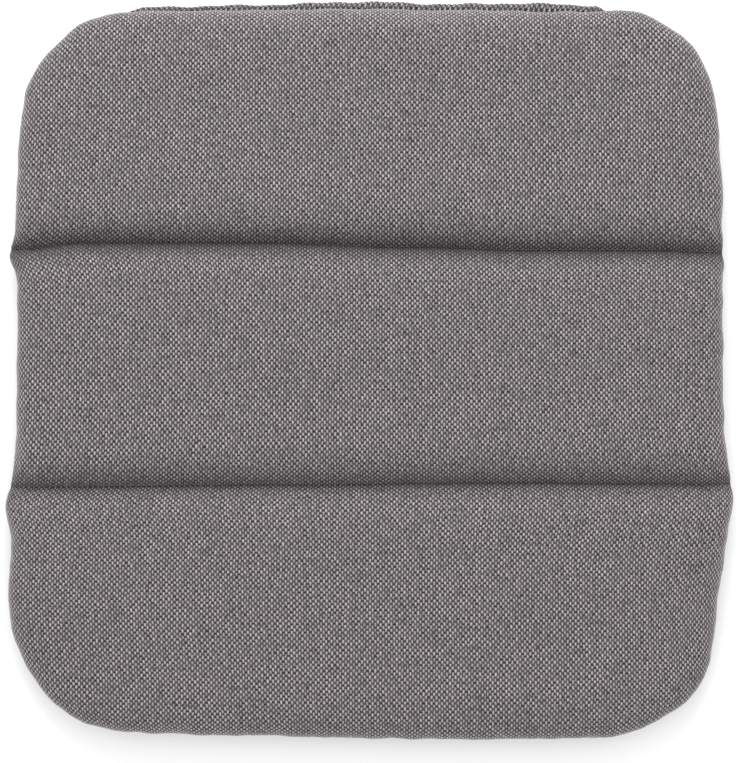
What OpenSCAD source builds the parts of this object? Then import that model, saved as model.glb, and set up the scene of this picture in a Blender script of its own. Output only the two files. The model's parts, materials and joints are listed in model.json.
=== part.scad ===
// Chair seat pad: a woven cover quilted into three cushioned channels.
// The cover is a top and a bottom panel sewn together round the edge, and two quilting seams
// run from side to side through every layer. The pad folds about those two seams.
// Origin: centre of the underside. +Z is up, +Y towards the back edge with the closing lip,
// and +X to the right when the back edge is away from the viewer.

/* [Pad] */
// Depth from the front edge to the tip of the closing lip
pad_depth = 428.5; // [380:0.5:470]
// Width of the back channel
back_width = 412; // [360:1:450]
// Width of the middle channel
middle_width = 409; // [360:1:450]
// Width of the front channel, which is the widest
front_width = 417; // [360:1:450]
// Thickness at the top of a channel
pad_height = 26; // [23:0.5:36]
// Radius of the two back corners
back_radius = 69; // [40:1:90]
// Radius of the two front corners
front_radius = 75; // [40:1:90]
// How far the back and front edges bow out at their middle
edge_bow = 6; // [0:0.5:10]

/* [Channels] */
// Distance from the tip of the closing lip to the back quilting seam
back_channel = 141.5; // [110:0.5:170]
// Distance between the two quilting seams
middle_channel = 138; // [110:0.5:170]
// Height of the quilting and edge seams above the underside
seam_height = 12.5; // [10.5:0.5:14]
// Width over which a channel slopes down to a quilting seam
seam_slope = 22; // [16:1:36]
// Width over which the cover rolls down to the edge seam
edge_roll = 13; // [9:0.5:16]

/* [Layers] */
// Thickness of the woven cover cloth
cloth = 0.8; // [0.5:0.1:1.2]
// Thickness of each wadding sheet, as pressed inside the cover
wadding = 3; // [2:0.5:5]
// Width of the seam allowance turned in at the edge
allowance = 2.8; // [2:0.1:2.9]

/* [Seams] */
// How far the closing lip stands out from the back edge
lip_reach = 3; // [1:0.5:5]
// Width of the strip where the two panels are stitched face to face
strip_width = 2.8; // [2:0.1:3.2]
// Diameter of the sewing thread
thread = 0.6; // [0.3:0.1:0.8]

/* [Hidden] */
ease = 0.05;                 // gap between two layers of one channel
seam_clear = 2;              // from a quilting seam's axis to the cloth beside it
rim = 0.25;                  // from the seam plane to the cloth on each side of it
seam_corner = 6;             // corner radius where a quilting seam meets the edge
back_seam = pad_depth / 2 - back_channel;
front_seam = back_seam - middle_channel;
back_reach = back_channel - lip_reach;
front_reach = pad_depth / 2 + front_seam;
crown = pad_height - seam_height;
thread_band = 0.7;           // width of the edge seam's run of thread
thread_inset = 1.2;          // from the edge to the edge seam's thread
foam_inset = cloth + wadding + 2 * ease;

roll_steps = 5;              // facets from the seam plane to the flat of a channel
corner_steps = 8;            // facets round an outer corner
small_steps = 3;             // facets round a corner at a quilting seam
side_steps = 2;
edge_steps = 8;
seam_steps = 4;

// ---- Outlines -------------------------------------------------------------------------

// A quarter turn about [cx, cy], counter-clockwise from the given angle
function turn(cx, cy, r, from, steps) =
    [for (i = [0:steps]) let (a = from + 90 * i / steps) [cx + r * cos(a), cy + r * sin(a)]];

// The points between two ends of a straight run
function between(a, b, steps) = [for (i = [1:1:steps - 1]) a + (b - a) * i / steps];

// Outline of an end channel with its quilting seam on y = 0 and its outer edge at y = reach.
// inset draws it in from the outer edge, and seam_inset from the quilting seam.
function end_outline(half, reach, radius, inset, seam_inset) =
    let (
        x = half - inset,
        y = reach - inset,
        r = radius - inset,
        c = seam_corner,
        s = seam_inset,
        points = concat(
            turn(x - c, s + c, c, -90, small_steps),
            between([x, s + c], [x, y - r], side_steps),
            turn(x - r, y - r, r, 0, corner_steps),
            between([x - r, y], [r - x, y], edge_steps),
            turn(r - x, y - r, r, 90, corner_steps),
            between([-x, y - r], [-x, s + c], side_steps),
            turn(c - x, s + c, c, 180, small_steps),
            between([c - x, s], [x - c, s], seam_steps)))
    [for (p = points) [p.x, p.y - bow_at(p.x, half) * p.y / reach]];

// How far the outer edge falls back at x from its middle
function bow_at(x, half) = edge_bow * pow(x / half, 2);

// Outline of the middle channel, between both quilting seams
function middle_outline(inset, seam_inset) =
    let (
        x = middle_width / 2 - inset,
        low = front_seam + seam_inset,
        high = back_seam - seam_inset,
        c = seam_corner)
    concat(
        turn(x - c, low + c, c, -90, small_steps),
        turn(x - c, high - c, c, 0, small_steps),
        turn(c - x, high - c, c, 90, small_steps),
        turn(c - x, low + c, c, 180, small_steps));

// Outline of any channel in the pad's frame
function outline(channel, inset, seam_inset) =
    channel == "middle" ? middle_outline(inset, seam_inset)
    : channel == "back"
        ? [for (p = end_outline(back_width / 2, back_reach, back_radius, inset, seam_inset))
            [p.x, back_seam + p.y]]
        : [for (p = end_outline(front_width / 2, front_reach, front_radius, inset, seam_inset))
            [-p.x, front_seam - p.y]];

// ---- Lofts ----------------------------------------------------------------------------

// A level ring of a layer that lies depth inside the cover, at the given roll angle:
// 0 is the seam plane and 90 the flat of the channel
function ring(channel, depth, angle, z) =
    let (fall = 1 - cos(angle))
    [for (p = outline(channel,
                      depth + (edge_roll - depth) * fall,
                      seam_clear + depth + (seam_slope - depth) * fall))
        [p.x, p.y, z]];

// The rings of a dome, from its rim up, or down where side is -1.
// rise is the height from the seam plane to the cover's face on that side.
function dome(channel, depth, start, rise, side) =
    [for (k = [0:roll_steps])
        let (angle = 90 * k / roll_steps)
        ring(channel, depth, angle,
             seam_height + side * (start + (rise - depth - start) * sin(angle)))];

function reversed(list) = [for (i = [len(list) - 1:-1:0]) list[i]];

// A closed solid through rings of equal length, each counter-clockwise from above
module loft(rings) {
    n = len(rings[0]);
    last = (len(rings) - 1) * n;
    polyhedron(
        points = [for (r = rings) each r],
        faces = concat(
            [[for (i = [0:n - 1]) i]],
            [for (k = [0:len(rings) - 2], i = [0:n - 1])
                let (j = (i + 1) % n)
                [k * n + i, (k + 1) * n + i, (k + 1) * n + j, k * n + j]],
            [[for (i = [n - 1:-1:0]) last + i]]));
}

// A field of the cover: one channel's share of a panel, with its allowance turned in
module field(channel, rise, side) {
    fold = rim + cloth;
    outer = dome(channel, 0, rim, rise, side);
    inner = dome(channel, cloth, fold, rise, side);
    turned = [
        for (z = [rim, fold])
            ring(channel, cloth + allowance, 0, seam_height + side * z)];
    rings = concat(reversed(outer), turned, inner);
    color("#7c7879") loft(side < 0 ? rings : reversed(rings));
}

// One channel's share of a wadding sheet, which wraps the foam on one side
module wadding_field(channel, rise, side) {
    start = rim + cloth + ease;
    outer = dome(channel, cloth + ease, start, rise, side);
    inner = dome(channel, cloth + ease + wadding, start, rise, side);
    rings = concat(reversed(outer), inner);
    color("#f2f1ec") loft(side < 0 ? rings : reversed(rings));
}

// The foam insert of one channel
module foam(channel) {
    lower = dome(channel, foam_inset, 0, seam_height, -1);
    upper = dome(channel, foam_inset, 0, crown, 1);
    above_seam = [for (k = [1:roll_steps]) upper[k]];
    color("#e9e2cf") loft(concat(reversed(lower), above_seam));
}

// ---- Seams ----------------------------------------------------------------------------

// The line where the two panels are pressed together and stitched, about which the pad folds
module quilt_strip(seam) {
    color("#5f5c5d")
        translate([0, seam, seam_height])
            cube([middle_width - 2 * cloth, strip_width, 2 * (cloth + ease)], center = true);
}

// A quilting seam's run of thread, above the strip or below it
module quilt_thread(seam, side) {
    height = cloth + 2 * ease + thread / 2;
    color("#4a4849")
        translate([0, seam, seam_height + side * height])
            rotate([0, 90, 0])
                cylinder(d = thread, h = middle_width - 4 * cloth, center = true, $fn = 24);
}

// The edge seam's thread along an end channel, from one quilting seam round to the same seam
module end_edge_thread(channel) {
    outer = outline(channel, thread_inset, seam_clear);
    inner = outline(channel, thread_inset + thread_band, seam_clear);
    first = small_steps;
    last = len(outer) - seam_steps - small_steps;
    run = concat(
        [for (i = [first:last]) outer[i]],
        [for (i = [last:-1:first]) inner[i]]);
    color("#4a4849")
        translate([0, 0, seam_height - rim + ease])
            linear_extrude(2 * (rim - ease)) polygon(run);
}

// The edge seam's thread along both sides of the middle channel
module middle_edge_thread() {
    run = middle_channel - 2 * (seam_clear + seam_corner);
    color("#4a4849")
        for (side = [-1, 1])
            translate([
                side * (middle_width / 2 - thread_inset - thread_band / 2),
                (back_seam + front_seam) / 2,
                seam_height])
                cube([thread_band, run, 2 * (rim - ease)], center = true);
}

// A flat band along the back edge, between two distances out from it
function back_band(near, far) =
    let (
        half = back_width / 2 - back_radius,
        xs = [for (i = [0:edge_steps]) half * (2 * i / edge_steps - 1)],
        edge = [for (x = xs) back_seam + back_reach - bow_at(x, back_width / 2)])
    concat(
        [for (i = [0:edge_steps]) [xs[i], edge[i] + near]],
        [for (i = [edge_steps:-1:0]) [xs[i], edge[i] + far]]);

// Both panels' turned-in edges, pressed together where the cover was closed after filling
module closing_lip() {
    color("#6b6869")
        translate([0, 0, seam_height - cloth])
            linear_extrude(2 * cloth) polygon(back_band(ease, lip_reach));
}

// The row of stitching along the closing lip
module closing_stitch() {
    middle = lip_reach / 2;
    color("#4a4849")
        translate([0, 0, seam_height + cloth + ease])
            linear_extrude(thread / 2)
                polygon(back_band(middle - thread / 2, middle + thread / 2));
}

// ---- Nodes ----------------------------------------------------------------------------

field("back", crown, 1);  // top_field_back
field("middle", crown, 1);  // top_field_middle
field("front", crown, 1);  // top_field_front
field("back", seam_height, -1);  // bottom_field_back
field("middle", seam_height, -1);  // bottom_field_middle
field("front", seam_height, -1);  // bottom_field_front
wadding_field("back", crown, 1);  // upper_wadding_back
wadding_field("middle", crown, 1);  // upper_wadding_middle
wadding_field("front", crown, 1);  // upper_wadding_front
wadding_field("back", seam_height, -1);  // lower_wadding_back
wadding_field("middle", seam_height, -1);  // lower_wadding_middle
wadding_field("front", seam_height, -1);  // lower_wadding_front
foam("back");  // foam_back
foam("middle");  // foam_middle
foam("front");  // foam_front
quilt_strip(back_seam);  // quilt_strip_back
quilt_strip(front_seam);  // quilt_strip_front
quilt_thread(back_seam, 1);  // needle_thread_back
quilt_thread(front_seam, 1);  // needle_thread_front
quilt_thread(back_seam, -1);  // bobbin_thread_back
quilt_thread(front_seam, -1);  // bobbin_thread_front
end_edge_thread("back");  // edge_thread_back
middle_edge_thread();  // edge_thread_middle
end_edge_thread("front");  // edge_thread_front
closing_lip();
closing_stitch();
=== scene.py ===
"""A woven seat pad, quilted into three channels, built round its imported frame.

Each channel is one closed cushion of two cloths, shaped by its seams and by cloth simulation.
All lengths are in metres. Cloth coordinates, which the weave follows, count threads.
"""

import json
import math

import bpy
import numpy as np
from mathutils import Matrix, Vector, noise
from mathutils.kdtree import KDTree


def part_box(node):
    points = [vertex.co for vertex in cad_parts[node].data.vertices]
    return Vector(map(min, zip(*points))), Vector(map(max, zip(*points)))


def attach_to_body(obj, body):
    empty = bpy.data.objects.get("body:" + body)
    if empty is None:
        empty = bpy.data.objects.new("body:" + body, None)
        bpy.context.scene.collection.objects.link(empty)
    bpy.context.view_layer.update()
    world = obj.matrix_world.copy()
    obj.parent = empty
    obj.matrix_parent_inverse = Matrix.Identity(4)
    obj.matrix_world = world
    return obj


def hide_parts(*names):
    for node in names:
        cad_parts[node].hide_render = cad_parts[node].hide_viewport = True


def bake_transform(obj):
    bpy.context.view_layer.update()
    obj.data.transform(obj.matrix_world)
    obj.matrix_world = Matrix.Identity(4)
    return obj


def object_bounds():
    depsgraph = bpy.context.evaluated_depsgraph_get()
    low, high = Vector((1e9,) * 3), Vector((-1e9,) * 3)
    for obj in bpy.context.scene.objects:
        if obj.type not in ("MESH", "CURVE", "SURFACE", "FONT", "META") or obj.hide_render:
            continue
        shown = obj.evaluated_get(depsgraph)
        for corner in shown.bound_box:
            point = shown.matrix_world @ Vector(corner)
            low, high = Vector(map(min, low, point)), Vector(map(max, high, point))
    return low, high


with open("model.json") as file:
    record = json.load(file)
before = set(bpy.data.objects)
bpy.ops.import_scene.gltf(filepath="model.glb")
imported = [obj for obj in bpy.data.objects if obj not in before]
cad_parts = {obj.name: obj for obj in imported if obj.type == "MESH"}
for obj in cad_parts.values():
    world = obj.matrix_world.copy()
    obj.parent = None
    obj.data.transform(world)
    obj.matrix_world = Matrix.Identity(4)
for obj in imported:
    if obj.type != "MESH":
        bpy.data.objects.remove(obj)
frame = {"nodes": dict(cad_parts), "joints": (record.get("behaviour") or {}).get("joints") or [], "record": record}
cad_low, cad_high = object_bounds()

MM = 0.001

# ---- Sizes, read from the frame ---------------------------------------------------------

joints = {j["name"]: j for j in frame["joints"]}
BACK_SEAM = joints["back_fold"]["pos_m"][1]
FRONT_SEAM = joints["front_fold"]["pos_m"][1]
SEAM_Z = joints["back_fold"]["pos_m"][2]
TOP_Z = cad_high[2]
BACK_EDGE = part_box("top_field_back")[1][1]
FRONT_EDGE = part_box("top_field_front")[0][1]

# ---- Sizes of the cover -----------------------------------------------------------------

HALF = 204.5 * MM            # half the width that the plan is drafted at
BACK_RADIUS = 69 * MM
FRONT_RADIUS = 72 * MM
EDGE_ROLL = 13 * MM          # plan width of the cover's roll down to the edge seam
SEAM_SLOPE = 22 * MM         # plan width of the slope down to a quilting seam, on top
UNDER_SLOPE = 15 * MM        # the same on the underside, which lies flat
SLOPE_POWER = 0.6            # 0.5 would make the slope a quarter ellipse
STITCH = 3.1 * MM            # one stitch of the quilting seams
VALLEY_ROUND = 2.2 * MM      # how softly the two slopes meet at a quilting seam
SEAM_LIFT = 1.4 * MM         # from the seam plane to the cloth in a quilting seam
WARP_PITCH = 1.522 * MM      # one column of the weave
WEFT_PITCH = 1.668 * MM      # one row of the weave
GRID_STEP = 2.4 * MM         # mesh step of the covers
CLOTH_DEPTH = 0.9 * MM       # from the cover's surface to the wadding
WADDING = 3.0 * MM           # thickness of the pressed wadding
FOAM_SLACK = 0.4 * MM        # between the wadding and the foam block
FILLING_GAP = 4.5 * MM       # from a quilting seam to the wadding
LIP_LEFT = -151 * MM         # ends of the closing lip
LIP_RIGHT = 141 * MM
LIP_STAND = 2.0 * MM         # how far the lip stands out of the rim, before its waves
LIP_THICK = 1.0 * MM
LIP_SINK = 2.6 * MM          # how far the lip's ends sink into the rim

# How strongly painted shade darkens the cloth beside each section's front and back seams
CREASE_SHADES = {"back": (1.0, 0.0), "middle": (0.6, 1.45), "front": (0.0, 0.75)}

RISE = TOP_Z - SEAM_Z
DROP = SEAM_Z


def smooth(value, low, high):
    """0 below low, 1 above high, and a smooth step between them."""
    t = np.clip((value - low) / (high - low), 0, 1)
    return t * t * (3 - 2 * t)


def bell(value, centre, width):
    return np.exp(-((value - centre) / width) ** 2)


# ---- Profiles ---------------------------------------------------------------------------

def roll_height(distance, width=EDGE_ROLL):
    """Height, from 0 to 1, of a cover that rolls over to an edge seam: a quarter ellipse."""
    s = 1 - np.clip(distance / width, 0, 1)
    return np.sqrt(np.maximum(1 - s * s, 0))


def slope_height(distance, width=SEAM_SLOPE):
    """Height, from 0 to 1, of a cover that slopes to a quilting seam, steepest at the seam."""
    soft = np.sqrt(np.maximum(distance, 0) ** 2 + VALLEY_ROUND ** 2) - VALLEY_ROUND
    s = 1 - np.clip(soft * (1 / width + VALLEY_ROUND / width ** 2), 0, 1)
    return (1 - s * s) ** SLOPE_POWER


class Profile:
    """The cloth between a seam and a plan distance from it, by length along the cloth."""

    def __init__(self, height, width, rise):
        self.plan = np.linspace(0, 1, 3001) ** 2 * width
        steps = np.hypot(np.diff(self.plan), np.diff(height(self.plan, width) * rise))
        self.cloth = np.concatenate([[0], np.cumsum(steps)])
        self.spare = self.cloth[-1] - width

    def lines(self, step):
        """Plan distances of grid lines: close at the seam, then each step along the cloth."""
        near = [0.0, 0.5 * MM, 1.1 * MM, 1.9 * MM, 3.0 * MM]
        count = max(3, round((self.cloth[-1] - near[-1]) / step))
        lengths = np.concatenate([near, np.linspace(near[-1], self.cloth[-1], count + 1)[1:]])
        if step > 3 * MM:
            lengths = np.linspace(0, self.cloth[-1], max(4, round(self.cloth[-1] / step)) + 1)
        return np.interp(lengths, self.cloth, self.plan)

    def extra(self, distance):
        """Cloth used beyond the plan width, from the end of the profile to a distance."""
        used = np.interp(distance, self.plan, self.cloth)
        return self.spare - used + np.minimum(distance, self.plan[-1])


EDGE = Profile(roll_height, EDGE_ROLL, RISE)
SEAM = Profile(slope_height, SEAM_SLOPE, RISE - SEAM_LIFT)


# ---- Channels ---------------------------------------------------------------------------

class Channel:
    """One padded channel in plan: where its edges and quilting seams are."""

    def __init__(self, name, low, high, radius, outer):
        self.name = name
        self.low, self.high = low, high     # y of its front and back sides
        self.radius = radius                # of its outer corners
        self.outer = outer                  # 1 or -1 where its back or front is an outer edge
        self.edge_y = high if outer > 0 else low

    def lines(self, step, across=None):
        """Grid lines over the channel, close together where the cover curves."""
        roll, slope = EDGE.lines(step), SEAM.lines(step)
        front = roll if self.outer < 0 else slope
        back = roll if self.outer > 0 else slope
        over = spaced(-HALF, HALF, roll, roll, across or step)
        return over, spaced(self.low, self.high, front, back, step)

    def rounded(self, x, y):
        """Bends the corners of the grid's rectangle into the outline's round corners."""
        if not self.outer:
            return x, y
        r = self.radius
        p = np.clip((np.abs(x) - (HALF - r)) / r, 0, 1)
        q = np.clip(1 - np.abs(self.edge_y - y) / r, 0, 1)
        corner = (p > 0) & (q > 0)
        px = np.sign(x) * (HALF - r + r * p * np.sqrt(1 - q * q / 2))
        py = self.edge_y - self.outer * (r - r * q * np.sqrt(1 - p * p / 2))
        return np.where(corner, px, x), np.where(corner, py, y)

    def edge_distance(self, x, y):
        """Distance to the outer edge, and the direction out to it."""
        side = np.where(x < 0, -1.0, 1.0)
        to_side = HALF - np.abs(x)
        if not self.outer:
            return np.maximum(to_side, 0), side, np.zeros_like(x)
        to_edge = np.abs(self.edge_y - y)
        ax = np.maximum(self.radius - to_side, 0)
        ay = np.maximum(self.radius - to_edge, 0)
        away = np.maximum(np.hypot(ax, ay), 1e-9)
        corner = (ax > 0) & (ay > 0)
        near_side = to_side < to_edge
        d = np.where(corner, self.radius - away, np.minimum(to_side, to_edge))
        nx = np.where(corner, side * ax / away, np.where(near_side, side, 0))
        ny = np.where(corner, self.outer * ay / away, np.where(near_side, 0, self.outer))
        return np.maximum(d, 0), nx, ny

    def seam_distances(self, y):
        """Distance to the quilting seam in front and to the one behind, far off if none."""
        far = np.full_like(y, 1.0)
        front = far if self.outer < 0 else y - self.low
        back = far if self.outer > 0 else self.high - y
        return np.maximum(front, 0), np.maximum(back, 0)


def spaced(low, high, near_low, near_high, step):
    """Grid lines from low to high: the given distances at both ends, even steps between."""
    start, end = low + near_low[-1], high - near_high[-1]
    count = max(2, round((end - start) / step))
    middle = np.linspace(start, end, count + 1)[1:-1]
    return np.concatenate([low + near_low, middle, (high - near_high)[::-1]])


CHANNELS = [
    Channel("front", FRONT_EDGE, FRONT_SEAM, FRONT_RADIUS, -1),
    Channel("middle", FRONT_SEAM, BACK_SEAM, 0, 0),
    Channel("back", BACK_SEAM, BACK_EDGE, BACK_RADIUS, 1),
]

# ---- The real pad's departures from its draft -------------------------------------------

# Bulges of the side outline: y, spread, and how far out on the left and on the right, in mm
BULGES = [
    (88, 34, 1.6, 0.6),      # behind the back seam
    (69, 10, 4.2, 0.8),      # just in front of the back seam
    (-72, 26, 2.5, 5.0),     # both sides of the front seam
    (-76, 12, 3.0, 0.6),     # just in front of the front seam
    (-132, 45, 3.6, 0.0),    # along the front section
]

# Uneven corners: where, which way and how far the outline is pushed, and how widely, in mm
PUSHES = [
    (186, 189, 2.2, 2.6, 24),
    (158, 208, 0.4, 3.0, 22),
    (203, 145, -1.8, 0.0, 18),
    (-165, 203, -0.5, 1.6, 20),
    (-203, 150, 1.2, 0.0, 16),
    (207, -150, -5.2, 0.0, 30),
    (160, -205, 0.0, 1.6, 20),
    (-172, -203, -0.8, -2.2, 26),
]


def plan_warp(x, y):
    """Moves drafted plan points to where the sewn pad has them."""
    out = np.zeros_like(x)
    for at, spread, left, right in BULGES:
        out += np.where(x < 0, -left, right) * MM * bell(y, at * MM, spread * MM)
    share = (x / HALF) ** 2
    reach_back = np.clip((y - BACK_SEAM) / (BACK_EDGE - BACK_SEAM), 0, 1)
    reach_front = np.clip((FRONT_SEAM - y) / (FRONT_SEAM - FRONT_EDGE), 0, 1)
    bow = (1.4 + 4.6 * share) * MM * reach_front - 4.5 * MM * share * reach_back
    skew = -0.0125 * x * reach_front ** 2
    to_x, to_y = x + out * np.abs(x / HALF), y + bow + skew
    for px, py, dx, dy, spread in PUSHES:
        push = bell(np.hypot(x - px * MM, y - py * MM), 0, spread * MM) * MM
        to_x, to_y = to_x + dx * push, to_y + dy * push
    return to_x, to_y


def seam_wander(x, seam):
    """How far a quilting seam's valley strays from its line, along the seam."""
    if seam == "back":
        return MM * (-1.7 + 2.4 * smooth(-x, -20 * MM, 60 * MM) - 1.8 * smooth(x, 30 * MM, 90 * MM)
                     - 1.4 * smooth(x, 165 * MM, 205 * MM) - 3.6 * smooth(-x, 165 * MM, 204 * MM))
    return MM * (-1.5 + 1.1 * smooth(x, -40 * MM, 60 * MM) - 1.2 * smooth(-x, 60 * MM, 190 * MM)
                 - 0.6 * smooth(x, 90 * MM, 190 * MM))


# ---- Cushion shape ----------------------------------------------------------------------

def cushion_face(channel, x, y, upper, lift=SEAM_LIFT, inset=0.0):
    """Shape and cloth coordinates of one face of a channel, over its drafted plan x, y."""
    d, nx, ny = channel.edge_distance(x, y)
    front, back = channel.seam_distances(y)
    if upper:
        seam = slope_height(front) * slope_height(back)
        crown = 1 - 0.15 * np.exp(-d / (24 * MM)) - 0.05 * np.exp(-d / (50 * MM)) * (channel.outer > 0)
        neck = lift * roll_height(d, 3 * MM)
        z = SEAM_Z + neck + (RISE - neck) * roll_height(d) * seam * crown
    else:
        seam = slope_height(front, UNDER_SLOPE) * slope_height(back, UNDER_SLOPE)
        neck = lift * roll_height(d, 3 * MM)
        z = SEAM_Z - neck - (DROP - neck) * roll_height(d) * seam
    u = x + nx * EDGE.extra(d)
    v = y + ny * EDGE.extra(d) + SEAM.extra(back) - SEAM.extra(front)
    v = v + 2 * SEAM.spare * channel.outer
    px, py = plan_warp(x, y)
    for seam_name, away in (("back", np.abs(y - BACK_SEAM)), ("front", np.abs(y - FRONT_SEAM))):
        py = py + seam_wander(px, seam_name) * bell(away, 0, 45 * MM)
    return np.stack([px, py, z], -1), np.stack([u / WARP_PITCH, v / WEFT_PITCH], -1)


def cushion(channel, step, across=None):
    """A channel's closed mesh: an upper and a lower grid that share their rim."""
    across, along = channel.lines(step, across)
    nx, ny = len(across), len(along)
    gx, gy = np.meshgrid(across, along)
    x, y = channel.rounded(gx.ravel(), gy.ravel())
    upper, upper_cloth = cushion_face(channel, x, y, True)
    lower, lower_cloth = cushion_face(channel, x, y, False)
    index = np.arange(nx * ny).reshape(ny, nx)
    rim = np.zeros((ny, nx), bool)
    rim[0], rim[-1], rim[:, 0], rim[:, -1] = True, True, True, True
    upper[rim.ravel(), 2] = SEAM_Z
    if channel.outer >= 0:
        upper[index[0], 1] = channel.low
    if channel.outer <= 0:
        upper[index[-1], 1] = channel.high
    inner = np.flatnonzero(~rim.ravel())
    under = index.ravel().copy()
    under[inner] = nx * ny + np.arange(len(inner))
    under = under.reshape(ny, nx)
    points = np.concatenate([upper, lower[inner]])
    flat = np.concatenate([np.stack([x, y], -1), np.stack([x, y], -1)[inner]])
    is_upper = np.arange(len(points)) < nx * ny
    faces, cloth = [], []
    for grid, coords, flip in ((index, upper_cloth, False), (under, lower_cloth, True)):
        quads = np.stack([grid[:-1, :-1], grid[:-1, 1:], grid[1:, 1:], grid[1:, :-1]], -1)
        places = np.stack([index[:-1, :-1], index[:-1, 1:], index[1:, 1:], index[1:, :-1]], -1)
        quads, places = quads.reshape(-1, 4), places.reshape(-1, 4)
        if flip:
            quads, places = quads[:, ::-1], places[:, ::-1]
        faces.append(quads)
        cloth.append(coords[places.ravel()])
    return points, np.concatenate(faces), np.concatenate(cloth), flat, is_upper


# ---- Cloth simulation -------------------------------------------------------------------

def whole_pad(step, neck):
    """The three channels as one closed shell, with a thick neck at each quilting seam."""
    rows_x, rows_y, faces_of = [], [], []
    for channel in CHANNELS:
        across, along = channel.lines(step)
        if rows_y:
            along = along[1:]
        gx, gy = np.meshgrid(across, along)
        x, y = channel.rounded(gx.ravel(), gy.ravel())
        up, _ = cushion_face(channel, x, y, True, neck)
        down, _ = cushion_face(channel, x, y, False, neck)
        rows_x.append(up.reshape(len(along), len(across), 3))
        rows_y.append(down.reshape(len(along), len(across), 3))
    up, down = np.concatenate(rows_x), np.concatenate(rows_y)
    ny, nx = up.shape[:2]
    index = np.arange(nx * ny).reshape(ny, nx)
    rim = np.zeros((ny, nx), bool)
    rim[0], rim[-1], rim[:, 0], rim[:, -1] = True, True, True, True
    under = np.where(rim, index, index + nx * ny)
    faces = []
    for grid, turn in ((index, 1), (under, -1)):
        quads = np.stack([grid[:-1, :-1], grid[:-1, 1:], grid[1:, 1:], grid[1:, :-1]], -1)
        faces.append(quads.reshape(-1, 4)[:, ::turn])
    points = np.concatenate([up.reshape(-1, 3), down.reshape(-1, 3)])
    points[index[rim], 2] = SEAM_Z
    return points, np.concatenate(faces)


def simulated_shifts():
    """Blows the cover up over its padding, with its seams pulled tight, as one cloth.

    Returns the points of the simulated cloth before, and how far each one moved.
    """
    points, faces = whole_pad(4.2 * MM, 3.4 * MM)
    used = np.unique(faces)
    renumber = np.zeros(len(points), int)
    renumber[used] = np.arange(len(used))
    shell = mesh_object("cover_cloth_sim", points[used], renumber[faces])
    remesh = shell.modifiers.new("remesh", "REMESH")
    remesh.mode = "VOXEL"
    remesh.voxel_size = 4.4 * MM
    graph = bpy.context.evaluated_depsgraph_get()
    mesh = bpy.data.meshes.new_from_object(shell.evaluated_get(graph))
    shell.modifiers.clear()
    shell.data = mesh
    before = np.array([v.co for v in mesh.vertices])

    seam_gap = np.minimum(np.abs(before[:, 1] - BACK_SEAM), np.abs(before[:, 1] - FRONT_SEAM))
    edge_gap = np.minimum(before[:, 1] - before[:, 1].min(), before[:, 1].max() - before[:, 1])
    side_gap = before[:, 0].max() - np.abs(before[:, 0])
    pins = shell.vertex_groups.new(name="pins")
    slack = np.minimum(np.minimum(seam_gap, edge_gap), side_gap)
    held = np.where(seam_gap < 3.2 * MM, 1.0, 0.012 + 0.1 * smooth(slack, 14 * MM, 48 * MM))
    for i, weight in enumerate(held):
        pins.add([i], float(weight), "REPLACE")
    shell.shape_key_add(name="Basis")
    cut = shell.shape_key_add(name="cut")
    gather = 0.030 * bell(seam_gap, 7 * MM, 9 * MM) + 0.022 * bell(edge_gap, 6 * MM, 10 * MM)
    ripple = 0.9 * MM * bell(side_gap, 5 * MM, 10 * MM) * np.sin(before[:, 1] / (7.5 * MM))
    cut_points = before.copy()
    cut_points[:, 0] *= 1 + gather
    cut_points[:, 1] += ripple
    cut.data.foreach_set("co", cut_points.ravel())

    cloth = shell.modifiers.new("cloth", "CLOTH")
    settings = cloth.settings
    settings.quality = 6
    settings.mass = 0.3
    settings.tension_stiffness = 28
    settings.compression_stiffness = 28
    settings.shear_stiffness = 9
    settings.bending_stiffness = 1.2
    settings.tension_damping = settings.compression_damping = 12
    settings.use_pressure = True
    settings.uniform_pressure_force = 1.2
    settings.vertex_group_mass = "pins"
    settings.rest_shape_key = cut
    settings.effector_weights.gravity = 0
    cloth.collision_settings.use_collision = False
    scene = bpy.context.scene
    scene.frame_start, scene.frame_end = 1, 20
    cloth.point_cache.frame_start, cloth.point_cache.frame_end = 1, 20
    for number in range(1, 21):
        scene.frame_set(number)
    graph = bpy.context.evaluated_depsgraph_get()
    result = shell.evaluated_get(graph).to_mesh()
    after = np.array([v.co for v in result.vertices])
    shell.evaluated_get(graph).to_mesh_clear()
    bpy.data.objects.remove(shell)
    scene.frame_set(1)
    shifts = after - before
    shifts[:, :2] = np.clip(shifts[:, :2], -1.2 * MM, 1.2 * MM)
    shifts[:, 2] = np.clip(shifts[:, 2], -1.5 * MM, 1.8 * MM)
    return before, shifts


def transfer(points, before, shifts):
    """The simulated shift at each point, a smooth mean of its neighbours'."""
    tree = KDTree(len(before))
    for i, p in enumerate(before):
        tree.insert(p, i)
    tree.balance()
    out = np.zeros_like(points)
    for i, p in enumerate(points):
        near = tree.find_n(p, 9)
        number = [n[1] for n in near]
        gap = np.array([n[2] for n in near])
        weight = np.exp(-(gap / (4.0 * MM)) ** 2) + 1e-9
        out[i] = weight @ shifts[number] / weight.sum()
    return out


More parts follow.
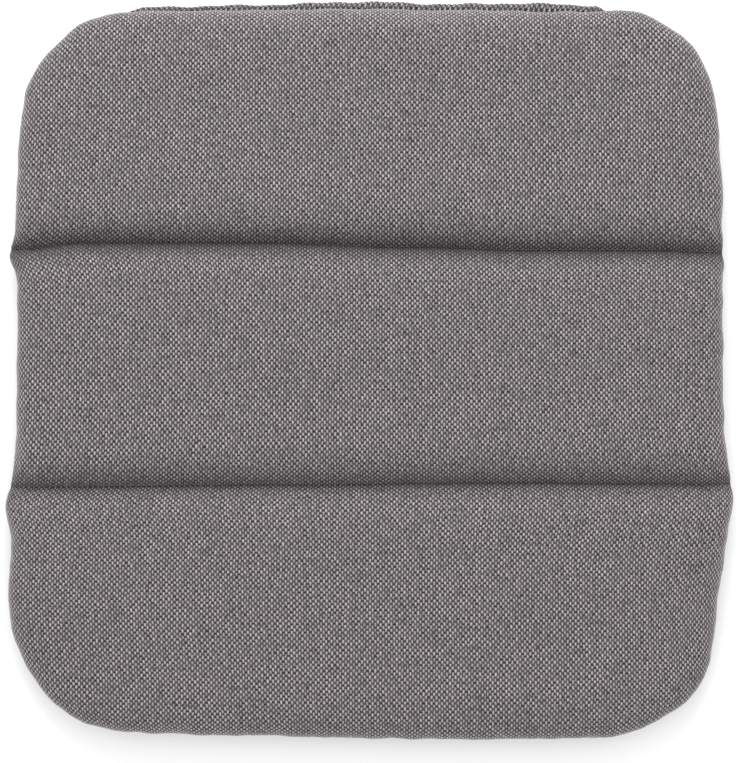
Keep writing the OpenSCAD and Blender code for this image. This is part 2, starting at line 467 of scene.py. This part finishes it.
def mesh_object(name, points, faces, cloth=None, crease=None):
    """A smooth mesh object, with the cloth coordinates as its UV map.

    Crease shade says, for each point, how much painted shade darkens the cloth beside a quilting seam, from 0 to
    1.
    """
    mesh = bpy.data.meshes.new(name)
    mesh.from_pydata(np.asarray(points).tolist(), [], [list(map(int, f)) for f in faces])
    if cloth is not None:
        layer = mesh.uv_layers.new(name="cloth")
        layer.data.foreach_set("uv", np.asarray(cloth, np.float32).ravel())
    if crease is not None:
        crease_shade_node = mesh.attributes.new("crease", "FLOAT", "POINT")
        crease_shade_node.data.foreach_set("value", np.asarray(crease, np.float32))
    mesh.polygons.foreach_set("use_smooth", [True] * len(mesh.polygons))
    mesh.update()
    obj = bpy.data.objects.new(name, mesh)
    bpy.context.scene.collection.objects.link(obj)
    return obj


# ---- Materials --------------------------------------------------------------------------

class Nodes:
    """Short calls for building one material's node tree."""

    def __init__(self, name):
        self.material = bpy.data.materials.new(name)
        self.material.use_nodes = True
        self.tree = self.material.node_tree
        self.shader = self.tree.nodes["Principled BSDF"]

    def link(self, source, socket):
        if isinstance(source, (int, float)):
            socket.default_value = source
        elif isinstance(source, tuple):
            socket.default_value = source
        else:
            self.tree.links.new(source, socket)

    def math(self, operation, *inputs, clamp=False):
        node = self.tree.nodes.new("ShaderNodeMath")
        node.operation = operation
        node.use_clamp = clamp
        for value, socket in zip(inputs, node.inputs):
            self.link(value, socket)
        return node.outputs[0]

    def step(self, value, low, high):
        """0 at low, 1 at high, smooth between. Low may be above high."""
        node = self.tree.nodes.new("ShaderNodeMapRange")
        node.interpolation_type = "SMOOTHSTEP"
        self.link(value, node.inputs["Value"])
        node.inputs["From Min"].default_value = min(low, high)
        node.inputs["From Max"].default_value = max(low, high)
        node.inputs["To Min"].default_value = 0.0 if low < high else 1.0
        node.inputs["To Max"].default_value = 1.0 if low < high else 0.0
        return node.outputs["Result"]

    def vector(self, x, y, z=0.0):
        node = self.tree.nodes.new("ShaderNodeCombineXYZ")
        for value, socket in zip((x, y, z), node.inputs):
            self.link(value, socket)
        return node.outputs[0]

    def noise(self, vector, scale, detail=2.0, roughness=0.5):
        node = self.tree.nodes.new("ShaderNodeTexNoise")
        self.link(vector, node.inputs["Vector"])
        node.inputs["Scale"].default_value = scale
        node.inputs["Detail"].default_value = detail
        node.inputs["Roughness"].default_value = roughness
        return node.outputs["Fac"]

    def random(self, vector):
        node = self.tree.nodes.new("ShaderNodeTexWhiteNoise")
        node.noise_dimensions = "3D"
        self.link(vector, node.inputs["Vector"])
        return node.outputs["Value"]

    def mix(self, factor, first, second):
        node = self.tree.nodes.new("ShaderNodeMix")
        node.data_type = "RGBA"
        self.link(factor, node.inputs["Factor"])
        self.link(first, node.inputs["A"])
        self.link(second, node.inputs["B"])
        return node.outputs["Result"]

    def scaled(self, colour, factor):
        """A colour times a number."""
        node = self.tree.nodes.new("ShaderNodeVectorMath")
        node.operation = "SCALE"
        self.link(colour, node.inputs[0])
        self.link(factor, node.inputs["Scale"])
        return node.outputs[0]

    def bump(self, height, strength, distance):
        node = self.tree.nodes.new("ShaderNodeBump")
        node.inputs["Strength"].default_value = strength
        node.inputs["Distance"].default_value = distance
        self.link(height, node.inputs["Height"])
        self.link(node.outputs["Normal"], self.shader.inputs["Normal"])


def oval(n, u, v, half_u, half_v, shift):
    """Squared distance from the nearest yarn float's centre, 1 on its oval's rim, and its cell.
    Floats of one colour stand on every other square of the weave, as on a chessboard."""
    a = n.math("MULTIPLY", n.math("ADD", u, v), 0.5)
    b = n.math("MULTIPLY", n.math("SUBTRACT", u, v), 0.5)
    a = n.math("ADD", n.math("FLOOR", n.math("ADD", a, shift)), 0.5 - shift)
    b = n.math("ADD", n.math("FLOOR", n.math("ADD", b, shift)), 0.5 - shift)
    du = n.math("DIVIDE", n.math("SUBTRACT", u, n.math("ADD", a, b)), half_u)
    dv = n.math("DIVIDE", n.math("SUBTRACT", v, n.math("SUBTRACT", a, b)), half_v)
    squared = n.math("ADD", n.math("MULTIPLY", du, du), n.math("MULTIPLY", dv, dv))
    return squared, n.vector(a, b)


def cloth_threads(n, mapped):
    """Where a point lies on the cloth, counted in threads."""
    if mapped:
        coords = n.tree.nodes.new("ShaderNodeUVMap")
        coords.uv_map = "cloth"
        return coords.outputs["UV"]
    coords = n.tree.nodes.new("ShaderNodeTexCoord")
    count = n.tree.nodes.new("ShaderNodeVectorMath")
    count.operation = "MULTIPLY"
    count.inputs[1].default_value = (1 / WARP_PITCH, 1 / WEFT_PITCH, 0)
    n.link(coords.outputs["Object"], count.inputs[0])
    return count.outputs["Vector"]


def woven_cloth(name, mapped=True):
    """Two-tone weave: pale upright floats on a dark ground, with uneven yarn, and painted shade near the quilting
    seams.
    """
    n = Nodes(name)
    threads = cloth_threads(n, mapped)
    split = n.tree.nodes.new("ShaderNodeSeparateXYZ")
    n.link(threads, split.inputs[0])
    sway = n.noise(threads, 0.09, 1.0)
    u = n.math("ADD", split.outputs["X"], n.math("MULTIPLY", n.math("SUBTRACT", sway, 0.5), 0.9))
    swell = n.noise(n.vector(split.outputs["Y"], split.outputs["X"], 4.0), 0.08, 1.0)
    across = n.noise(n.vector(split.outputs["X"], split.outputs["Y"], 11.0), 0.55, 1.0)
    along = n.noise(n.vector(split.outputs["X"], split.outputs["Y"], 23.0), 0.55, 1.0)
    v = n.math("ADD", split.outputs["Y"], n.math("MULTIPLY", n.math("SUBTRACT", swell, 0.5), 0.9))

    u = n.math("ADD", u, n.math("MULTIPLY", n.math("SUBTRACT", across, 0.5), 0.55))
    v = n.math("ADD", v, n.math("MULTIPLY", n.math("SUBTRACT", along, 0.5), 0.75))
    pale, pale_cell = oval(n, u, v, 0.44, 0.74, 0.0)
    dark, dark_cell = oval(n, n.math("ADD", u, 1.0), n.math("ADD", v, 0.12), 0.66, 0.42, 0.0)
    luck = n.random(pale_cell)
    column = n.noise(n.vector(u, 0.0), 1.0, 1.0)
    streak = n.noise(n.vector(n.math("MULTIPLY", u, 1.0), n.math("MULTIPLY", v, 0.07)), 0.9, 2.0)
    row = n.noise(n.vector(n.math("MULTIPLY", u, 0.05), v, 9.0), 0.8, 2.0)
    cloud = n.noise(threads, 0.035, 3.0)
    dashes = n.noise(n.vector(n.math("MULTIPLY", u, 0.11), n.math("MULTIPLY", v, 0.8), 4.0), 1.0, 2.0)
    slub = n.step(dashes, 0.50, 0.30)

    pale_mask = n.step(pale, 1.0, 0.25)
    dark_mask = n.step(dark, 1.1, 0.3)
    gloom = n.math("MULTIPLY", dark_mask, n.step(n.random(dark_cell), 0.1, 0.9))
    ground = n.mix(gloom, (0.060, 0.0515, 0.0545, 1), (0.0135, 0.011, 0.0125, 1))
    colour = n.mix(pale_mask, ground, (0.282, 0.261, 0.264, 1))
    uneven = n.math("ADD", 0.47, n.math("MULTIPLY", luck, 0.46))
    uneven = n.math("ADD", uneven, n.math("MULTIPLY", streak, 0.38))
    uneven = n.math("ADD", uneven, n.math("MULTIPLY", column, 0.16))
    uneven = n.math("ADD", uneven, n.math("MULTIPLY", row, 0.16))
    uneven = n.math("ADD", uneven, n.math("MULTIPLY", cloud, 0.12))
    uneven = n.math("MULTIPLY", uneven, n.math("SUBTRACT", 1.0, n.math("MULTIPLY", slub, 0.26)))
    # Painted shade: the colour is darkened where the crease shade attribute is high, beside the quilting seams
    crease_shade_node = n.tree.nodes.new("ShaderNodeAttribute")
    crease_shade_node.attribute_name = "crease"
    shade = n.math("SUBTRACT", 1.0, n.math("MULTIPLY", crease_shade_node.outputs["Fac"], 0.42))
    uneven = n.math("MULTIPLY", uneven, shade)
    n.link(n.scaled(colour, uneven), n.shader.inputs["Base Color"])

    fibre = n.noise(n.vector(n.math("MULTIPLY", u, 5.0), v), 2.6, 3.0)
    height = n.math("ADD", n.math("MULTIPLY", n.step(pale, 1.0, 0.0), 1.0),
                    n.math("MULTIPLY", n.step(dark, 1.1, 0.0), 0.6))
    height = n.math("ADD", height, n.math("MULTIPLY", fibre, 0.25))
    n.bump(height, 0.5, 0.25 * MM)
    n.shader.inputs["Roughness"].default_value = 0.85
    n.shader.inputs["Specular IOR Level"].default_value = 0.25
    n.shader.inputs["Sheen Weight"].default_value = 0.55
    n.shader.inputs["Sheen Roughness"].default_value = 0.4
    n.shader.inputs["Sheen Tint"].default_value = (0.85, 0.82, 0.83, 1)
    return n.material


def sewing_thread():
    """Dark twisted polyester thread."""
    n = Nodes("thread")
    coords = n.tree.nodes.new("ShaderNodeTexCoord").outputs["Object"]
    split = n.tree.nodes.new("ShaderNodeSeparateXYZ")
    n.link(coords, split.inputs[0])
    along = n.math("ADD", split.outputs["X"], split.outputs["Y"])
    along = n.math("ADD", along, n.math("MULTIPLY", split.outputs["Z"], 0.6))
    ply = n.math("SINE", n.math("MULTIPLY", along, 2 * math.pi / (0.45 * MM)))
    fuzz = n.noise(coords, 3000.0, 3.0)
    tone = n.math("ADD", 0.75, n.math("MULTIPLY", ply, 0.15))
    tone = n.math("ADD", tone, n.math("MULTIPLY", fuzz, 0.3))
    n.link(n.scaled((0.075, 0.07, 0.072), tone), n.shader.inputs["Base Color"])
    n.bump(ply, 0.5, 0.06 * MM)
    n.shader.inputs["Roughness"].default_value = 0.55
    n.shader.inputs["Sheen Weight"].default_value = 0.2
    return n.material


def pressed_wadding():
    """White polyester fibre, matted."""
    n = Nodes("wadding")
    coords = n.tree.nodes.new("ShaderNodeTexCoord").outputs["Object"]
    fibres = n.noise(coords, 900.0, 6.0, 0.7)
    tufts = n.noise(coords, 60.0, 3.0)
    tone = n.math("ADD", 0.72, n.math("MULTIPLY", fibres, 0.25))
    tone = n.math("ADD", tone, n.math("MULTIPLY", tufts, 0.15))
    n.link(n.scaled((0.86, 0.86, 0.84), tone), n.shader.inputs["Base Color"])
    n.bump(n.math("ADD", fibres, tufts), 0.8, 1.0 * MM)
    n.shader.inputs["Roughness"].default_value = 0.95
    n.shader.inputs["Sheen Weight"].default_value = 0.4
    return n.material


def open_cell_foam():
    """Cream foam with fine open cells."""
    n = Nodes("foam")
    coords = n.tree.nodes.new("ShaderNodeTexCoord").outputs["Object"]
    cells = n.tree.nodes.new("ShaderNodeTexVoronoi")
    cells.inputs["Scale"].default_value = 700.0
    n.link(coords, cells.inputs["Vector"])
    patches = n.noise(coords, 25.0, 2.0)
    tone = n.math("ADD", 0.62, n.math("MULTIPLY", cells.outputs["Distance"], 0.45))
    tone = n.math("ADD", tone, n.math("MULTIPLY", patches, 0.12))
    n.link(n.scaled((0.82, 0.77, 0.64), tone), n.shader.inputs["Base Color"])
    n.bump(cells.outputs["Distance"], 0.7, 0.5 * MM)
    n.shader.inputs["Roughness"].default_value = 0.95
    return n.material


CLOTH = woven_cloth("cover_cloth")
STRIP_CLOTH = woven_cloth("strip_cloth", mapped=False)
THREAD = sewing_thread()
WADDING_LOOK = pressed_wadding()
FOAM_LOOK = open_cell_foam()


def paint(obj, material):
    obj.data.materials.clear()
    obj.data.materials.append(material)
    return obj


# ---- Pieces -----------------------------------------------------------------------------

def wander(points, scale, seed):
    """Smooth noise, about -1 to 1, at each point. Scale is a length, or one for each axis."""
    places = np.asarray(points) / scale + seed * 7.31
    return np.array([noise.noise(Vector(p)) for p in places]) * 1.8


def hand_made(channel, points, flat, is_upper):
    """The unevenness of real padding and sewing: puckers, stitch dimples, soft hollows."""
    x, y = flat[:, 0], flat[:, 1]
    front, back = channel.seam_distances(y)
    seam_gap = np.minimum(front, back)
    edge_gap, nx, ny = channel.edge_distance(x, y)
    side = np.where(is_upper, 1.0, -1.0)
    inner = np.minimum(seam_gap, edge_gap) > 0.1 * MM
    base = np.stack([x, y, side * 0.05], -1)
    pucker = wander(base, np.array([6.5, 26, 40]) * MM, 1) * bell(seam_gap, 6.5 * MM, 6 * MM)
    pucker = pucker * smooth(edge_gap, 2 * MM, 12 * MM) * 0.55
    hollow = wander(base, np.array([55, 45, 60]) * MM, 2) * 0.45 + wander(base, 22 * MM, 3) * 0.22
    hollow = hollow * smooth(seam_gap, 4 * MM, 30 * MM) * smooth(edge_gap, 1 * MM, 20 * MM)
    stitch = -0.55 * np.cos(x * 2 * math.pi / STITCH) * bell(seam_gap, 0, 1.8 * MM)
    fan = np.zeros_like(x)
    for seam_y in (BACK_SEAM, FRONT_SEAM):
        away_x, away_y = HALF - 3 * MM - np.abs(x), y - seam_y
        reach = np.hypot(away_x, away_y)
        ray = np.arctan2(np.abs(away_y), away_x)
        fan += np.cos(ray * 9 + np.sign(x) + 2 * np.sign(away_y)) * bell(reach, 13 * MM, 9 * MM)
    fan = 0.75 * fan * smooth(seam_gap, 1 * MM, 5 * MM) * smooth(edge_gap, 0.5 * MM, 4 * MM)
    points[:, 2] += np.where(inner, (pucker + stitch + hollow + fan) * MM * side, 0)
    rim_pull = wander(base, np.array([16, 16, 40]) * MM, 4) * 0.5 + wander(base, 7 * MM, 5) * 0.22
    rim_pull = rim_pull * bell(edge_gap, 0, 8 * MM) * smooth(seam_gap, 2 * MM, 10 * MM)
    groove = 0.9 * bell(points[:, 2], SEAM_Z, 1.3 * MM) * bell(edge_gap, 0, 2 * MM)
    inward = (rim_pull + groove) * MM
    points[:, 0] -= nx * inward
    points[:, 1] -= ny * inward
    return points


def finished_cushion(channel, step, before, shifts, across=None):
    """A channel's mesh with the simulated shifts on it, resting on the floor."""
    points, faces, cloth, flat, is_upper = cushion(channel, step, across)
    if before is not None:
        points = points + transfer(points, before, shifts)
    points = hand_made(channel, points, flat, is_upper)
    points[:, 2] = np.maximum(points[:, 2], 0)
    # Painted shade beside the quilting seams: how much each point's colour is darkened, strongest at the seam
    front, back = channel.seam_distances(flat[:, 1])
    front_shade, back_shade = CREASE_SHADES[channel.name]
    crease = np.maximum(front_shade * bell(front, 0, 7.5 * MM), back_shade * bell(back, 0, 7.5 * MM))
    return points, faces, cloth, crease


def shrunk(points, channel, depth, seam_gap):
    """The same shape, a depth further in from its surface and a gap clear of the quilting seams."""
    low = channel.low + (depth if channel.outer < 0 else seam_gap)
    high = channel.high - (depth if channel.outer > 0 else seam_gap)
    share = (points[:, 1] - channel.low) / (channel.high - channel.low)
    inner = points.copy()
    inner[:, 0] *= 1 - depth / HALF
    inner[:, 1] = low + share * (high - low)
    height = points[:, 2] - SEAM_Z
    size = np.maximum(np.abs(height) - depth, 0.25 * np.abs(height))
    inner[:, 2] = SEAM_Z + np.sign(height) * size
    return inner


def attach(piece, channel):
    """Fixes a middle-channel piece to the middle section; for an outer channel, only bakes the piece's placement
    into its mesh.
    """
    if not channel.outer:
        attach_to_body(piece, "middle_section")
        return
    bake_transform(piece)


def make_cover(channel, before, shifts):
    points, faces, cloth, crease = finished_cushion(channel, GRID_STEP, before, shifts, STITCH / 3)
    cover = paint(mesh_object(f"cover_{channel.name}", points, faces, cloth, crease), CLOTH)
    attach(cover, channel)
    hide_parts(f"top_field_{channel.name}", f"bottom_field_{channel.name}")


def make_filling(channel, before, shifts):
    """The wadding, hollow, and the foam block inside it."""
    points, faces = finished_cushion(channel, 5 * MM, before, shifts)[:2]
    outer = shrunk(points, channel, CLOTH_DEPTH, FILLING_GAP)
    hollow = shrunk(points, channel, CLOTH_DEPTH + WADDING, FILLING_GAP + WADDING)
    both = np.concatenate([outer, hollow])
    skins = np.concatenate([faces, faces[:, ::-1] + len(points)])
    wadding = paint(mesh_object(f"wadding_{channel.name}", both, skins), WADDING_LOOK)
    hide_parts(f"upper_wadding_{channel.name}", f"lower_wadding_{channel.name}")
    core = WADDING + FOAM_SLACK
    block = shrunk(points, channel, CLOTH_DEPTH + core, FILLING_GAP + core)
    foam = paint(mesh_object(f"foam_{channel.name}_block", block, faces), FOAM_LOOK)
    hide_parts(f"foam_{channel.name}")
    attach(wadding, channel)
    attach(foam, channel)


def tubes(paths, radius, sides=6):
    """One mesh of closed tubes, each along its own short path, thinner at its ends."""
    points, faces = [], []
    turn = np.arange(sides) * 2 * math.pi / sides
    for path in paths:
        path = np.asarray(path)
        way = np.gradient(path, axis=0)
        way /= np.linalg.norm(way, axis=1)[:, None]
        flat = np.cross(way, (0, 0, 1.0))
        flat /= np.linalg.norm(flat, axis=1)[:, None]
        up = np.cross(flat, way)
        start = len(points)
        for i, place in enumerate(path):
            size = radius * (0.55 if i in (0, len(path) - 1) else 1.0)
            ring = place + size * (np.cos(turn)[:, None] * flat[i] + np.sin(turn)[:, None] * up[i])
            points.extend(ring)
        for i in range(len(path) - 1):
            for j in range(sides):
                a, b = start + i * sides + j, start + i * sides + (j + 1) % sides
                faces.append([a, b, b + sides, a + sides])
        last = start + (len(path) - 1) * sides
        faces.append([start + j for j in reversed(range(sides))])
        faces.append([last + j for j in range(sides)])
    return points, faces


def stitch_row(name, node, body, place, low, high):
    """Lock stitches along a seam: each lies on the cloth and dives into it at its ends."""
    paths = []
    for number in range(math.ceil(low / STITCH), math.floor(high / STITCH) + 1):
        x = (number + 0.5) * STITCH
        along = np.linspace(-1, 1, 7)
        path = [place(x + s * 1.35 * MM, abs(s) ** 3) for s in along]
        paths.append(path)
    points, faces = tubes(paths, 0.24 * MM)
    piece = paint(mesh_object(name, points, faces), THREAD)
    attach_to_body(piece, body)
    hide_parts(node)


def make_quilting(seam, y):
    def on_top(x, dive):
        return (x, y + seam_wander(x, seam), SEAM_Z + SEAM_LIFT - (0.3 + 0.8 * dive) * MM)

    def beneath(x, dive):
        return (x, y + seam_wander(x, seam), SEAM_Z - SEAM_LIFT + (0.3 + 0.8 * dive) * MM)

    low, high = -HALF + 4 * MM, HALF - 4 * MM
    stitch_row(f"quilting_{seam}_top", f"needle_thread_{seam}", "middle_section", on_top, low, high)
    stitch_row(f"quilting_{seam}_under", f"bobbin_thread_{seam}", "middle_section", beneath, low, high)


def back_rim(x):
    """The sewn back edge, in plan."""
    _, y = plan_warp(np.asarray(x, float), np.full(np.shape(x), BACK_EDGE))
    return y


def make_lip():
    """The closing lip: turned-in edges sewn shut along the back, tapering into the rim."""
    x = np.arange(LIP_LEFT, LIP_RIGHT, 0.5 * MM)
    ends = smooth(x, LIP_LEFT, LIP_LEFT + 22 * MM) * smooth(-x, -LIP_RIGHT, -LIP_RIGHT + 10 * MM)
    wave = 1.5 * MM * bell(x, -6 * MM, 34 * MM) + 1.5 * MM * bell(x, 96 * MM, 36 * MM)
    rim = back_rim(x)
    turn = np.arange(14) * 2 * math.pi / 14
    ripple = np.sin(x * 2 * math.pi / (2 * WARP_PITCH))
    slack = 0.35 * MM * np.sin(x / (7.3 * MM)) + 0.25 * MM * np.sin(x / (3.1 * MM) + 1.2)
    sunk = LIP_SINK * (1 - ends)
    points, faces, cloth = [], [], []
    for i, at in enumerate(x):
        reach = 0.35 * MM + LIP_STAND * ends[i] + (wave[i] + slack[i] + 0.1 * MM * ripple[i]) * ends[i]
        thick = 0.3 * MM + (LIP_THICK + 0.08 * MM * ripple[i]) * ends[i]
        for t in turn:
            c, s = math.cos(t), math.sin(t)
            points.append((at, rim[i] - sunk[i] + 0.2 * MM + reach * math.copysign(abs(c) ** 0.7, c),
                           SEAM_Z + 0.4 * MM + thick * math.copysign(abs(s) ** 0.8, s)))
    sides = len(turn)
    for i in range(len(x) - 1):
        for j in range(sides):
            a, b = i * sides + j, i * sides + (j + 1) % sides
            faces.append([a, a + sides, b + sides, b])
            for k, m in ((i, j), (i + 1, j), (i + 1, j + 1), (i, j + 1)):
                cloth.append(((x[k] + 0.5 * MM * m) / WARP_PITCH, m * 0.78))
    last = (len(x) - 1) * sides
    faces.append([j for j in range(sides)])
    cloth.extend([(x[0] / WARP_PITCH, 0.0)] * sides)
    faces.append([last + j for j in reversed(range(sides))])
    cloth.extend([(x[-1] / WARP_PITCH, 0.0)] * sides)
    lip = paint(mesh_object("closing_strip", points, faces, cloth), CLOTH)
    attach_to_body(lip, "back_section")
    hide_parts("closing_lip")

    def on_lip(x, dive):
        return (x, float(back_rim(x)) + 0.9 * MM, SEAM_Z + (1.75 - 1.0 * dive) * MM)

    stitch_row("closing_stitches", "closing_stitch", "back_section", on_lip,
               LIP_LEFT + 18 * MM, LIP_RIGHT - 10 * MM)


def make_edge_seam(channel):
    """The thread of the edge seam, just inside the cover, all round the channel's outer edge."""
    def rim(x, y):
        px, py = plan_warp(np.asarray(x, float), np.asarray(y, float))
        return np.stack([px, py, np.full(len(px), SEAM_Z)], -1)

    inset = 1.6 * MM
    side = HALF - inset
    gap = 4 * MM
    if channel.outer:
        r = channel.radius - inset
        corner_y = channel.edge_y - channel.outer * channel.radius
        seam_y = channel.low if channel.outer > 0 else channel.high
        turn = np.radians(np.linspace(0, 90, 24))
        ys = np.linspace(seam_y + channel.outer * gap, corner_y, 20)[:-1]
        xs = np.linspace(side - r, -(side - r), 60)[1:-1]
        right_x = np.concatenate([np.full(19, side), side - r + r * np.cos(turn)])
        right_y = np.concatenate([ys, corner_y + channel.outer * r * np.sin(turn)])
        x = np.concatenate([right_x, xs, -right_x[::-1]])
        edge = channel.edge_y - channel.outer * inset
        y = np.concatenate([right_y, np.full(len(xs), edge), right_y[::-1]])
        paths = [rim(x, y)]
    else:
        ys = np.linspace(channel.low + gap, channel.high - gap, 40)
        paths = [rim(np.full(40, s * side), ys) for s in (-1, 1)]
    points, faces = tubes(paths, 0.28 * MM)
    piece = paint(mesh_object(f"edge_seam_{channel.name}", points, faces), THREAD)
    attach(piece, channel)
    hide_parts(f"edge_thread_{channel.name}")


before, shifts = simulated_shifts()
for channel in CHANNELS:
    make_cover(channel, before, shifts)
    make_filling(channel, before, shifts)
    make_edge_seam(channel)
make_quilting("back", BACK_SEAM)
make_quilting("front", FRONT_SEAM)
make_lip()

CAD_LOOKS = {"wadding": WADDING_LOOK, "foam": FOAM_LOOK, "thread": THREAD, "cover_cloth": STRIP_CLOTH}
slots = {s["node"]: s["material_slot"] for s in frame["record"]["subparts"]}
for node, obj in frame["nodes"].items():
    paint(obj, CAD_LOOKS[slots[node]])

# ---- Stage, light and camera ------------------------------------------------------------

def make_floor():
    """A plain pale sheet with a little tooth to it."""
    side = 6.0
    corners = np.array([[-1, -1, 0], [1, -1, 0], [1, 1, 0], [-1, 1, 0]]) * side
    floor = mesh_object("floor", corners, [[0, 1, 2, 3]])
    n = Nodes("floor")
    n.shader.inputs["Base Color"].default_value = (0.92, 0.92, 0.92, 1)
    n.shader.inputs["Roughness"].default_value = 0.9
    n.shader.inputs["Specular IOR Level"].default_value = 0.1
    paint(floor, n.material)


def make_light(name, place, target, size, power):
    data = bpy.data.lights.new(name, "AREA")
    data.shape = "RECTANGLE"
    data.size, data.size_y = size
    data.energy = power
    light = bpy.data.objects.new(name, data)
    bpy.context.scene.collection.objects.link(light)
    light.location = place
    light.rotation_euler = (Vector(target) - Vector(place)).to_track_quat("-Z", "Y").to_euler()


def make_world(strength):
    world = bpy.data.worlds.new("studio")
    world.use_nodes = True
    world.node_tree.nodes["Background"].inputs["Color"].default_value = (1, 1, 1, 1)
    world.node_tree.nodes["Background"].inputs["Strength"].default_value = strength
    bpy.context.scene.world = world


def make_camera():
    """Above the pad, leaning a little to its front, with a long lens."""
    distance, lean = 1.1, math.radians(2.4)
    view_height = 442.5 * MM
    sensor = 36 * MM
    data = bpy.data.cameras.new("camera")
    data.sensor_width = 36
    data.lens = 36 * distance / view_height
    data.clip_start, data.clip_end = 0.05, 20
    camera = bpy.data.objects.new("camera", data)
    bpy.context.scene.collection.objects.link(camera)
    target = Vector((0.3 * MM, -6.9 * MM, SEAM_Z))
    back = Vector((0, -math.sin(lean), math.cos(lean)))
    camera.location = target + back * distance
    camera.rotation_euler = (lean, 0, 0)
    bpy.context.scene.camera = camera


make_floor()
make_world(1.2)
make_light("key", (-0.1, 1.3, 0.8), (0, 0, 0), (1.2, 0.8), 18)
make_camera()
bpy.context.scene.view_settings.view_transform = "Standard"
